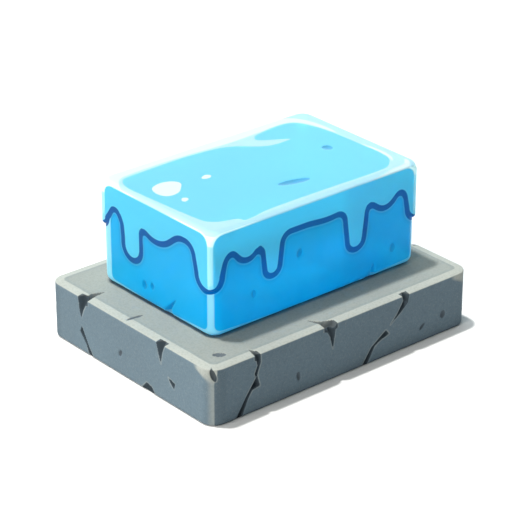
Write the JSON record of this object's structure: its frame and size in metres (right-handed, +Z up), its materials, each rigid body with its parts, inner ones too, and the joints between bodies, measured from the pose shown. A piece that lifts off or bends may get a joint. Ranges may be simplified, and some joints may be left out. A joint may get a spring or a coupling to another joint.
{
  "type": "ice block on a stone slab",
  "caption": "Rounded rectangular block of ice with a refrozen layer dripping down its sides, resting on a cracked grey stone slab.",
  "frame": {"origin": "middle of the stone slab's underside, on the surface that it stands on", "axes": "+Z up; +X along the slab's and the ice block's long side; -Y is the long side that the picture shows on the right, -X the short side that it shows on the left"},
  "size_m": [0.328, 0.25, 0.168],
  "materials": {
    "ice": "clear cyan-blue ice, wet and smooth, with a frosted white rim",
    "stone": "matt grey stone, worn pale along its edges and dark in its cracks"
  },
  "bodies": {
    "root": {"ice_block": "ice", "stone_slab": "stone"}
  },
  "joints": []
}
